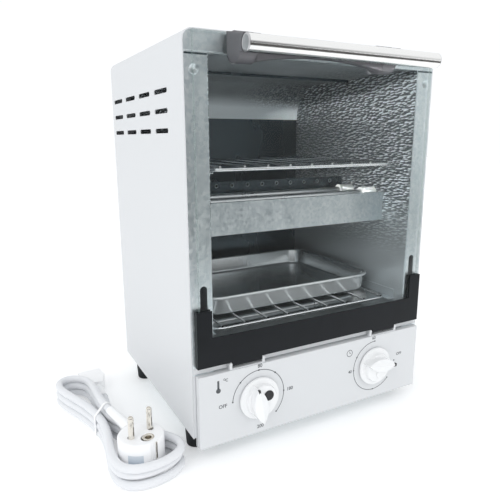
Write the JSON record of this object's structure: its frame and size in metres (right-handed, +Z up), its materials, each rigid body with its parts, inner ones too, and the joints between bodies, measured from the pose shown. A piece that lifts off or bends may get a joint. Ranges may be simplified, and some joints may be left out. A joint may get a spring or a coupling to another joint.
{
  "type": "dry heat sterilizer",
  "caption": "Benchtop dry heat sterilizer: white sheet-metal cabinet with a drop-down glass door, tube handle, heated cavity with wire racks and a tray, dial controls and a tied mains lead.",
  "frame": {"origin": "middle of the footprint on the surface that the feet stand on, measured without the mains lead", "axes": "+Z up, -Y towards the front with the door, +X to the right as seen from the front"},
  "size_m": [0.3367, 0.2462, 0.345],
  "materials": {
    "white_paint": "smooth satin white enamel",
    "galvanised": "galvanised sheet, faint spangle",
    "stainless": "satin stainless",
    "ceramic": "glazed ceramic",
    "black_metal": "satin black paint",
    "brass": "bare",
    "white_plastic": "satin moulded",
    "wire_insulation": "silicone sleeve",
    "black_plastic": "moulded",
    "foot_rubber": "moulded rubber",
    "door_glass": "clear tempered",
    "handle_plastic": "dark plum-grey moulded",
    "knob_plastic": "glossy white",
    "chrome_wire": "bright plated",
    "cord_jacket": "smooth white jacket",
    "nickel": "nickel plated"
  },
  "bodies": {
    "cabinet": {"outer_shell": "white_paint", "rear_panel": "white_paint", "base_pan": "galvanised", "control_panel": "white_paint", "top_rail": "galvanised", "left_stile": "galvanised", "right_stile": "galvanised", "stile_rivets": "galvanised", "liner_left_wall": "galvanised", "liner_right_wall": "galvanised", "liner_ceiling": "galvanised", "liner_back_wall": "galvanised", "liner_floor": "galvanised", "heater_shield": "galvanised", "heater_guard": "galvanised", "middle_heater_tubes": "stainless", "middle_heater_insulators": "ceramic", "bottom_heater_tubes": "stainless", "bottom_heater_insulators": "ceramic", "left_rack_runners": "galvanised", "right_rack_runners": "galvanised", "hinge_brackets": "black_metal", "hinge_pins": "stainless", "thermostat": "stainless", "temperature_probe": "brass", "timer": "stainless", "timer_bell": "stainless", "terminal_block": "white_plastic", "thermal_fuse": "brass", "wiring": "wire_insulation", "power_inlet": "black_plastic", "inlet_blades": "brass", "rear_screws": "stainless", "feet": "foot_rubber", "foot_screws": "stainless", "mains_lead": "cord_jacket", "lead_tie": "white_plastic", "lead_connector": "white_plastic", "plug_body": "white_plastic", "plug_pins": "nickel", "plug_earth_clips": "nickel"},
    "door": {"door_glass": "door_glass", "door_rail": "black_metal", "handle_bracket": "handle_plastic", "handle_tube": "stainless", "handle_caps": "stainless", "handle_screws": "stainless", "stay_arms": "stainless"},
    "temperature_dial": {"temperature_knob": "knob_plastic", "temperature_inlay": "black_plastic", "temperature_shaft": "stainless"},
    "timer_dial": {"timer_knob": "knob_plastic", "timer_inlay": "black_plastic", "timer_shaft": "stainless"},
    "upper_rack": {"upper_rack": "chrome_wire"},
    "lower_rack": {"lower_rack": "chrome_wire"},
    "tray": {"tray": "stainless"}
  },
  "joints": [
    {"name": "door_hinge", "type": "hinge", "parent": "cabinet", "child": "door", "pos_m": [0, -0.08687, 0.0837], "axis": [1, 0, 0], "range_deg": [0, 90]},
    {"name": "temperature_turn", "type": "hinge", "parent": "cabinet", "child": "temperature_dial", "pos_m": [-0.0655, -0.09, 0.048], "axis": [0, 1, 0], "range_deg": [-77, 145]},
    {"name": "timer_turn", "type": "hinge", "parent": "cabinet", "child": "timer_dial", "pos_m": [0.0655, -0.09, 0.048], "axis": [0, 1, 0], "range_deg": [0, 260]},
    {"name": "upper_rack_slide", "type": "slide", "parent": "cabinet", "child": "upper_rack", "axis": [0, -1, 0], "range_m": [0, 0.0695]},
    {"name": "lower_rack_slide", "type": "slide", "parent": "cabinet", "child": "lower_rack", "axis": [0, -1, 0], "range_m": [0, 0.0695]},
    {"name": "tray_lift", "type": "slide", "parent": "lower_rack", "child": "tray", "axis": [0, 0, 1], "range_m": [0, 0.03]}
  ],
  "couplings": [
    {"joint": "upper_rack_slide", "follows": "door_hinge", "m_per_rad": 0.044},
    {"joint": "lower_rack_slide", "follows": "door_hinge", "m_per_rad": 0.044}
  ]
}
